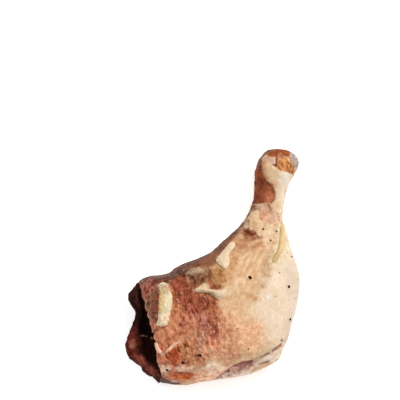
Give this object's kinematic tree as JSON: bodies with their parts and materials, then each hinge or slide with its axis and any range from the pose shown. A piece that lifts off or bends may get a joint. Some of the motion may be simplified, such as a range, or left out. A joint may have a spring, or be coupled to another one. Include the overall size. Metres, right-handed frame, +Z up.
{
  "type": "duck leg confit",
  "caption": "Cooked whole duck leg, drumstick and thigh, with browned skin, a hollow cut at the hip, meat sticking out and lumps of set fat.",
  "frame": {"origin": "middle of the whole leg's bounding box at its underside, where it lies on the table", "axes": "+Z up from the table, +Y towards the knuckle, +X towards the outer side of the drumstick, -X towards the cut at the hip"},
  "size_m": [0.1222, 0.1688, 0.047],
  "materials": {
    "skin": "soft cooked skin with a thin coat of fat, moist and slightly glossy",
    "meat": "dark red-brown cooked meat, moist",
    "fat": "set cream-coloured fat, satin"
  },
  "bodies": {
    "root": {"skin": "skin", "meat": "meat", "fat_slab": "fat", "fat_chip": "fat", "fat_tail": "fat", "fat_film": "fat", "fat_streak": "fat", "fat_patch": "fat"}
  },
  "joints": []
}
